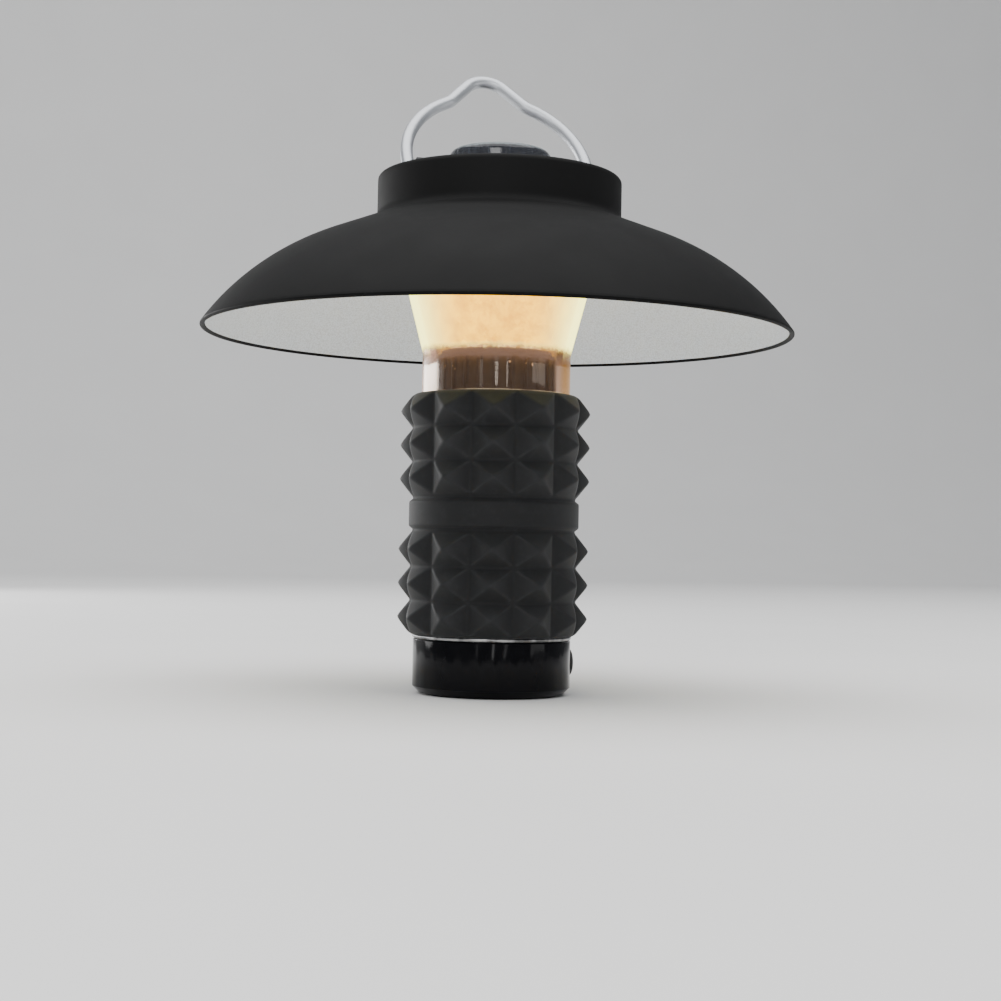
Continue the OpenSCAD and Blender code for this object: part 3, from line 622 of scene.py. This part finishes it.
def torch_clear():
    """Clear optical plastic of the torch lens's front, with a violet cast and wipe marks."""
    f = Finish("torch_clear", IOR=1.49, Specular_IOR_Level=0.6)
    wipe, edge = f.noise(4, 3, (1, 3, 1)), f.edge_on(0.35)
    f.feed("Base Color", f.between(wipe, (0.17, 0.16, 0.26, 1), (0.27, 0.27, 0.36, 1)))
    f.feed("Roughness", 0.03 + wipe * 0.05)
    f.feed("Alpha", (0.14 + edge * 0.6).clipped())
    f.bump(wipe, 0.004)
    return f.material


def torch_side():
    """Side wall of the torch lens: nearly black as painted shade of the dark well behind it,
    streaked, with painted highlights pale at its brow and its foot.
    """
    f = Finish("torch_side", IOR=1.49, Specular_IOR_Level=0.4)
    height, streak = f.axes()[2], f.noise(0.9, 3, (1, 1, 3), rough=0.6)
    # Brow and foot painted pale as highlights, the rest near black as painted shade of the well
    brow = (height + streak * 0.3).step(torch_high[2] - 0.6, torch_high[2] - 0.1)
    foot = 1 - (height - streak * 0.4).step(cap_top + 0.9, cap_top + 1.6)
    painted_well_shade = f.between(streak.step(0.5, 0.75), (0.01, 0.012, 0.018, 1), (0.045, 0.055, 0.07, 1))
    f.feed("Base Color", f.between((brow + foot * 0.5).clipped(), painted_well_shade, (0.2, 0.25, 0.26, 1)))
    f.feed("Roughness", 0.05 + streak * 0.08)
    f.feed("Alpha", 0.93 - brow * 0.3)
    f.bump(streak, 0.02)
    return f.material


def mirror_dish():
    """Vacuum-metallised reflector with a fine orange peel that breaks up its glints."""
    f = Finish("mirror_dish", Metallic=1.0)
    peel, tone = f.noise(1.1, 1), f.noise(4, 2)
    f.feed("Base Color", f.between(tone, (0.62, 0.62, 0.7, 1), (0.86, 0.86, 0.9, 1)))
    f.feed("Roughness", 0.05 + tone * 0.06)
    f.bump(peel, 0.05)
    return f.material


def lit_phosphor(name, strength):
    """Lit light chip: amber phosphor under a clear skin."""
    f = Finish(name, Roughness=0.3, Emission_Strength=strength)
    dots = f.grains(0.9)
    f.feed("Base Color", f.between(dots, (1.0, 0.75, 0.35, 1), (0.9, 0.5, 0.15, 1)))
    f.feed("Emission Color", f.between(dots, (1.0, 0.72, 0.38, 1), (1.0, 0.55, 0.2, 1)))
    return f.material


# ---- Pieces ----

def shade_outline():
    """Section of the shade: dome arc and straight crown, collar, lip, and back inside."""
    def dome(slopes, inset):
        centre = np.array([SHADE_R - DOME_R * math.sin(RIM_SLOPE), dome_z])
        return centre + (DOME_R - inset) * np.stack([np.sin(slopes), np.cos(slopes)], -1)

    def crown(r, inset):
        start = dome(np.array([CROWN_SLOPE]), inset)[0]
        return start[1] + (start[0] - r) * math.tan(CROWN_SLOPE)

    flat_r = SHADE_R - DOME_R * (math.sin(RIM_SLOPE) - math.sin(CROWN_SLOPE))
    lip_top = shade_high[2]
    dome_top = lip_top - COLLAR_H
    dome_z = dome_top - (flat_r - COLLAR_R) * math.tan(CROWN_SLOPE) - DOME_R * math.cos(CROWN_SLOPE)
    slopes = np.linspace(RIM_SLOPE, CROWN_SLOPE, 40)
    turned_in = RIM_SLOPE - PAINT_LAP / DOME_R
    outside = dome(slopes, 0)
    inside = dome(np.sort([*slopes, turned_in]), SHADE_WALL)
    ring, inner = COLLAR_R, COLLAR_R - SHADE_WALL
    corners = [(*p, 0) for p in outside[1:]]
    corners += [(ring, crown(ring, 0), COLLAR_FOOT), (ring, lip_top, COLLAR_ROUND),
                (LIP_R, lip_top, 0.3), (LIP_R, lip_top - SHADE_WALL, 0.25),
                (inner, lip_top - SHADE_WALL, 0.2),
                (inner, crown(inner, SHADE_WALL), COLLAR_FOOT + SHADE_WALL)]
    corners += [(*p, 0) for p in inside[:-1]]
    corners += [(*inside[-1], 0.3), (*outside[0], 0.3)]
    return rounded(corners, 8)


def make_shade(outside, inside, edge):
    """Black outside, white inside and black rolled edge, told apart by which way faces look."""
    def pick(middle, normal):
        radial = np.hypot(middle[:, 0], middle[:, 1])
        out = (normal[:, :2] * middle[:, :2]).sum(1) / radial
        under = (normal[:, 2] < FACES_IN) | (out < FACES_IN)
        lap_r = SHADE_R - SHADE_WALL * math.sin(RIM_SLOPE) - PAINT_LAP * math.cos(RIM_SLOPE)
        white = under & (middle[:, 2] < shade_high[2] - WHITE_FROM_TOP) & (radial < lap_r)
        edge_r = np.where(under, lap_r, SHADE_R - CUT_EDGE_W)
        return np.where(white, 1, np.where(radial > edge_r, 2, 0))

    points, faces = lathe(shade_outline(), 320)
    piece("shade_shell", points, faces, "shade", "shade", "shade_paint",
          [outside, inside, edge], pick, sharp=50)


def tent(t):
    """0 at whole numbers and 1 halfway between them."""
    return 1 - np.abs(2 * (t % 1) - 1)


def soft_min(a, b, blend):
    """The lesser of two values, with a rounded ridge where they are within blend."""
    mix = np.clip(0.5 + (b - a) / (2 * blend), 0, 1)
    return b + (a - b) * mix - blend * mix * (1 - mix)


def make_grip(finish):
    """r = foot + stud height times the lesser of two tents, one round the grip and one up it."""
    length = grip_high[2] - grip_low[2]
    row_h = (length - BAND_W - 2 * BAND_GROOVE) / (2 * STUD_ROWS)
    field = STUD_ROWS * row_h
    rows = np.linspace(0, STUD_ROWS, STUD_ROWS * STUD_STEPS + 1)
    band = np.linspace(0, 1, BAND_STEPS + 1)[1:-1]
    heights = np.concatenate([rows * row_h, field + band * (BAND_W + 2 * BAND_GROOVE),
                              length - field + rows * row_h])
    phase = np.concatenate([rows, np.zeros(len(band)), rows])
    around = np.arange(STUDS * STUD_STEPS) / STUD_STEPS
    up, side = np.meshgrid(phase, around, indexing="ij")
    tall = soft_min(tent(up), tent(side), STUD_BLEND)
    tall = np.where(tall < STUD_FOOT, tall ** 2 / (2 * STUD_FOOT) + STUD_FOOT / 2, tall)
    tall = tall - TIP_WORN * np.clip(tall - STUD_TIP, 0, 1) / (1 - STUD_TIP)
    off = np.abs(heights - length / 2)
    proud = BAND_PROUD * np.clip(((BAND_W + BAND_EDGE) / 2 - off) / BAND_EDGE, 0, 1)[:, None]
    past = (off - BAND_W / 2 - BAND_GROOVE / 2) / GROOVE_EASE
    groove = GROOVE_DEPTH * np.exp(-past ** 2)[:, None]
    ends = np.minimum(heights, length - heights)[:, None]
    lip = GRIP_LIP * np.clip(1 - ends / GRIP_LIP_H, 0, 1) ** 2
    on_stud = (off > BAND_W / 2 + BAND_GROOVE)[:, None]
    r = GRIP_R + np.where(on_stud, STUD_H * tall, 0) + proud - groove - lip
    angle = side / STUDS * TAU
    outer = np.stack([r * np.cos(angle), r * np.sin(angle),
                      np.repeat(heights[:, None] + grip_low[2], angle.shape[1], 1)], -1)
    bore = outer[[-1, 0]].copy()
    bore[..., 0], bore[..., 1] = GRIP_BORE * np.cos(angle[:2]), GRIP_BORE * np.sin(angle[:2])
    points = np.concatenate([outer, bore])
    faces = grid_faces(*points.shape[:2], wrap_rows=True, wrap_columns=True)
    made = piece("grip_studs", points.reshape(-1, 3), faces, "lantern", "grip_sleeve",
                 "grip_rubber", [finish], sharp=60)
    ridge = made.data.attributes.new("ridge", "FLOAT", "POINT")
    where = np.zeros(len(made.data.vertices) * 3)
    made.data.vertices.foreach_get("co", where)
    x, y, z = where.reshape(-1, 3).T / MM
    peak = np.clip((np.hypot(x, y) - GRIP_R) / STUD_H, 0, 1)
    row, stud = np.interp(z, heights + grip_low[2], phase), np.arctan2(y, x) / TAU * STUDS
    # Where two faces of a stud meet, but not along the foot of a row. The silicone paints stud tips
    # and these creases lighter, partly as wear and partly as a painted highlight.
    crease = np.clip(1 - np.abs(tent(row) - tent(stud)) / CREASE_W, 0, 1) * (tent(row) > 0.1)
    ridge.data.foreach_set("value", np.maximum(peak ** 2, crease * 0.8))


def wire_path():
    """Centre line of half the bail in its own plane: runs and bends given by their length
    and turn, whose heading is smoothed along the wire and then summed to points."""
    turns = [(LEG_BEND * math.pi / 2, 90), (LEG_RUN, 0),
             (SHOULDER_BEND * math.radians(SHOULDER_TURN), SHOULDER_TURN), (SHOULDER_RUN, 0),
             (NECK_BEND * math.radians(NECK_TURN), -NECK_TURN), (NECK_RUN, 0),
             (HUMP_BEND * math.radians(HUMP_TURN), HUMP_TURN)]
    lengths, angles = np.array(turns).T
    ends = np.concatenate([[0], np.cumsum(lengths)])
    s = np.linspace(0, ends[-1], WIRE_POINTS)
    heading = np.interp(s, ends, np.concatenate([[0], np.cumsum(angles)]))
    kernel = np.hanning(2 * WIRE_EASE + 1)
    past_top = 2 * heading[-1] - heading[-2:-2 - WIRE_EASE:-1]
    padded = np.concatenate([np.full(WIRE_EASE, heading[0]), heading, past_top])
    heading = np.radians(np.convolve(padded, kernel / kernel.sum(), "valid"))
    step = s[1] - s[0]
    middle = (heading[1:] + heading[:-1]) / 2
    x = np.concatenate([[0], np.cumsum(np.cos(middle))]) * step
    z = np.concatenate([[0], np.cumsum(np.sin(middle))]) * step
    start_x = LEG_X - LEG_BEND
    x = start_x + x - (x[-1] + start_x) * s / s[-1]
    return x, z, heading


def make_bail(finish):
    """A circle carried along the whole wire, and the wire turned back by its lean."""
    x, z, heading = wire_path()
    level = np.zeros(len(PIN_ALONG))
    size = np.concatenate([PIN_SHARE, np.ones(len(x))])
    x = np.concatenate([PIN_X + np.array(PIN_ALONG), x])
    z, heading = np.concatenate([level, z]), np.concatenate([level, heading])
    x, z = np.concatenate([x, -x[-2::-1]]), np.concatenate([z, z[-2::-1]])
    heading = np.concatenate([heading, TAU - heading[-2::-1]])
    size = np.concatenate([size, size[-2::-1]]) * WIRE_R
    turn = np.arange(WIRE_SIDES) / WIRE_SIDES * TAU
    normal = np.stack([np.sin(heading), -np.cos(heading)], -1)
    across = (size[:, None] * np.cos(turn))[..., None]
    flat = np.stack([x, z], -1)[:, None] + across * normal[:, None]
    y = size[:, None] * np.sin(turn)
    lean = np.stack([flat[..., 0], y * math.cos(BAIL_LEAN) + flat[..., 1] * math.sin(BAIL_LEAN),
                     pivot_z - y * math.sin(BAIL_LEAN) + flat[..., 1] * math.cos(BAIL_LEAN)], -1)
    rings = len(lean)
    sides = grid_faces(rings, WIRE_SIDES, wrap_columns=True).tolist()
    caps = [list(range(WIRE_SIDES)), list(range((rings - 1) * WIRE_SIDES, rings * WIRE_SIDES))]
    mesh = bpy.data.meshes.new("bail_bent_wire")
    mesh.from_pydata((lean.reshape(-1, 3) * MM).tolist(), [], sides + caps)
    tidy(mesh)
    mesh.materials.append(finish)
    shade_smooth(mesh, 50)
    place(bpy.data.objects.new("bail_bent_wire", mesh), "bail", "bail", "bail_wire")


def make_lens(outside, inside):
    """Spigot, clear cylinder, bend and cone, with a wall that follows the outside."""
    top, rim_r = lens_high[2], lens_high[0]
    flare_z, flare_top = led_top - FLARE_START, top - LENS_RIM_H
    flare_r = LENS_R + (flare_top - flare_z - FLARE_BEND) * math.tan(FLARE_SLOPE)
    step_z = flare_top + rim_r - flare_r
    bend = FLARE_BEND / math.tan(FLARE_SLOPE / 2)
    curve = arc((LENS_R + bend, flare_z), bend, math.pi, math.pi - FLARE_SLOPE, 20)
    corners = [(LENS_SPIGOT_R, lens_low[2], 0.3), (LENS_SPIGOT_R, barrel_top, 0),
               (LENS_R, barrel_top, 0.15)]
    corners += [(*p, 0) for p in curve]
    corners += [(flare_r, flare_top, 0.5), (rim_r, step_z, 0.5), (rim_r, top, 0.3),
                (rim_r - LENS_WALL, top, 0.3), (rim_r - LENS_WALL, step_z, 0.5),
                (flare_r - LENS_WALL, flare_top, 0.5)]
    corners += [(p[0] - LENS_WALL, p[1], 0) for p in curve[::-1]]
    corners += [(LENS_R - LENS_WALL, barrel_top + SPIGOT_RISE, 0.6),
                (LENS_SPIGOT_RI, barrel_top - SPIGOT_DROP, 0.4),
                (LENS_SPIGOT_RI, lens_low[2], 0.2)]

    def pick(middle, normal):
        return ((normal[:, :2] * middle[:, :2]).sum(1) < 0).astype(int)

    points, faces = lathe(rounded(corners, 6), 224)
    piece("lens_shell", points, faces, "lantern", "lens", "lens_clear",
          [outside, inside], pick, sharp=40)


def make_torch_lens(front, side):
    """Thick clear pane with a rounded brow, a skirt below it and a flange in the cap."""
    def pick(middle, normal):
        return (np.abs(normal[:, 2]) < 0.93).astype(int)

    flange_r, foot, top = torch_high[0], torch_low[2], torch_high[2]
    r, under = flange_r - TORCH_FLANGE_W, cap_top - TORCH_FLANGE_H
    skirt_r, ceiling = r - TORCH_SKIRT, top - TORCH_PANE
    corners = [(0, top, 0), (r, top, TORCH_BROW), (r, cap_top, 0.1), (flange_r, cap_top, 0.1),
               (flange_r, under, 0.1), (r, under, 0.1), (r, foot, 0.1),
               (skirt_r, foot, 0.1), (skirt_r, ceiling, 0.3), (0, ceiling, 0)]
    points, faces = lathe(rounded(corners, 9), 128)
    piece("torch_pane", points, faces, "lantern", "torch_lens", "torch_clear", [front, side], pick)


def dress_all():
    """Finishes and detailed pieces for every sub-part."""
    black, rubber, dark = satin_black(), soft_rubber(), moulded("chip_black", (0.02, 0.02, 0.022))
    steel = plain_metal("screw_steel", (0.62, 0.63, 0.65))
    contact = plain_metal("contact_plating", (0.8, 0.7, 0.48))
    make_shade(powder_coat(), speckle_coat(), rim_paint())
    make_grip(silicone())
    make_bail(wire_steel())
    make_lens(lens_outside(), lens_inside())
    make_torch_lens(torch_clear(), torch_side())
    refine("base_cap", "base_black", gloss_black(), 0.12)
    refine("foot_pad", "foot_rubber", rubber, 0.15)
    refine("trim_ring", "trim_metal", turned_metal("trim_metal", 0.42, 0.24, 0.3))
    refine("power_button", "button_plastic", satin_black("button_black", 0.009), 0.1)
    refine("usb_cover", "cover_rubber", rubber, 0.1)
    refine("usb_port", "port_metal", steel)
    refine("top_cap", "cap_black", black, 0.15)
    refine("torch_bezel", "bezel_metal", turned_metal("bezel_metal", 0.75, 0.1))
    refine("barrel", "barrel_metal", plain_metal("anodised_black", (0.03, 0.03, 0.033), 0.4))
    refine("battery_tube", "tube_plastic", tower_plastic())
    refine("torch_reflector", "mirror_dish", mirror_dish())
    refine("reflector_cone", "cone_white", moulded("cone_white", (0.9, 0.88, 0.82), 0.2))
    board = moulded("white_board", (0.82, 0.82, 0.8), 0.35)
    leads = moulded("lead_sleeve", (0.5, 0.03, 0.02), 0.4)
    seal = moulded("seal_rubber", (0.05, 0.05, 0.05), 0.6)
    plain = {
        "base_screws": steel, "torch_screws": steel, "torch_board": board,
        "led_board": warm_carrier("amber_board", 0.06),
        "board_leads": leads, "torch_leads": leads, "lens_seal": seal, "cap_gasket": seal,
        "control_board": moulded("board_green", (0.03, 0.2, 0.07), 0.3), "board_chips": dark,
        "usb_tongue": dark, "tact_switch": dark, "battery_contact": contact,
        "contact_spring": contact, "positive_contact": contact,
        "charge_light": moulded("light_pipe", (0.8, 0.83, 0.78), 0.2),
        "switch_plunger": moulded("plunger_ivory", (0.75, 0.72, 0.62), 0.4),
        "battery_cell": moulded("cell_wrap", (0.06, 0.2, 0.5), 0.25),
        "contact_insulator": moulded("insulator_card", (0.8, 0.76, 0.62), 0.7),
        "led_carrier": warm_carrier("brown_carrier", 0.02),
        "led_chips": lit_phosphor("lit_amber", 3.0),
        "torch_led": lit_phosphor("torch_phosphor", 0.0),
    }
    for node, finish in plain.items():
        dress(node, finish)


# ---- Floor, light and camera ----

def make_floor():
    """A pale floor that curves up into a backdrop: flat, then an arc, then upright."""
    front, reach, radius, wall, half_w = -2.5, 1.1, 0.5, 1.6, 3.0
    curve = arc((reach, radius), radius, -math.pi / 2, 0, 24)
    y = np.concatenate([[front], curve[:, 0], [reach + radius]])
    z = np.concatenate([[0.0], curve[:, 1], [radius + wall]])
    x = np.array([-half_w, half_w])
    points = np.stack([np.repeat(x[None], len(y), 0), np.repeat(y[:, None], 2, 1),
                       np.repeat(z[:, None], 2, 1)], -1).reshape(-1, 3)
    mesh = bpy.data.meshes.new("floor")
    mesh.from_pydata(points.tolist(), [], grid_faces(len(y), 2).tolist())
    f = Finish("floor_paint", Specular_IOR_Level=0.2, Roughness=0.75)
    paint = (1, 0.995, 0.985)
    f.feed("Base Color", f.between(f.noise(60, 3), grey(0.75, paint), grey(0.79, paint)))
    mesh.materials.append(f.material)
    mesh.shade_smooth()
    floor = bpy.data.objects.new("floor", mesh)
    bpy.context.scene.collection.objects.link(floor)


def soft_light(name, spot, target, width, height, power):
    """A rectangular soft box at a spot, aimed at a target, in metres and watts."""
    lamp = bpy.data.lights.new(name, "AREA")
    lamp.shape, lamp.size, lamp.size_y, lamp.energy = "RECTANGLE", width, height, power
    obj = bpy.data.objects.new(name, lamp)
    obj.location = spot
    obj.rotation_euler = (Vector(target) - Vector(spot)).to_track_quat("-Z", "Y").to_euler()
    bpy.context.scene.collection.objects.link(obj)


def make_light():
    """A dim even sky, one large soft box overhead, and slim strips that draw the highlights
    on glass, wire and gloss."""
    world = bpy.data.worlds.new("studio")
    world.use_nodes = True
    sky = world.node_tree.nodes["Background"].inputs
    sky["Color"].default_value = (0.92, 0.95, 1.0, 1)
    sky["Strength"].default_value = 0.36
    bpy.context.scene.world = world
    grip_middle = (0, 0, 0.06)
    soft_light("overhead", (-0.06, -0.1, 1.1), (0, 0.05, 0), 1.8, 1.5, 27.0)
    soft_light("front_top", (-0.31, -0.68, 0.34), (0, 0, 0.04), 0.3, 0.2, 1.5)
    soft_light("back_left", (-0.39, 0.45, 0.14), (0, 0, 0.07), 0.6, 0.16, 1.9)
    soft_light("strip_a", (-0.433, -0.575, 0.11), grip_middle, 0.07, 0.15, 0.05)
    soft_light("strip_b", (-0.174, -0.7, 0.11), grip_middle, 0.06, 0.15, 0.2)
    soft_light("strip_c", (0.03, -0.72, 0.11), grip_middle, 0.04, 0.15, 0.08)
    soft_light("right_box", (0.58, -0.42, 0.12), grip_middle, 0.3, 0.12, 0.28)


# Camera: a long lens at the height of the grip's lower studs, looking slightly up
CAMERA_LENS = 62.97
CAMERA_DISTANCE = 0.330
CAMERA_HEIGHT = 0.0276
CAMERA_AZIMUTH = math.radians(-14)
CAMERA_PITCH = math.radians(1.52)
CAMERA_YAW = math.radians(-0.21)
CAMERA_ROLL = math.radians(1.05)


def make_camera():
    """The camera stands off along its azimuth, and is pitched up, turned and rolled a little."""
    data = bpy.data.cameras.new("camera")
    data.lens, data.clip_start, data.clip_end = CAMERA_LENS, 0.01, 20
    camera = bpy.data.objects.new("camera", data)
    back = Vector((math.sin(CAMERA_AZIMUTH), -math.cos(CAMERA_AZIMUTH), 0))
    heading = Matrix.Rotation(CAMERA_AZIMUTH + CAMERA_YAW, 4, "Z")
    tilt = Matrix.Rotation(math.pi / 2 + CAMERA_PITCH, 4, "X")
    stand = Matrix.Translation(back * CAMERA_DISTANCE + Vector((0, 0, CAMERA_HEIGHT)))
    camera.matrix_world = stand @ heading @ tilt @ Matrix.Rotation(CAMERA_ROLL, 4, "Z")
    bpy.context.scene.collection.objects.link(camera)
    bpy.context.scene.camera = camera


make_camera()
make_light()
make_floor()
dress_all()
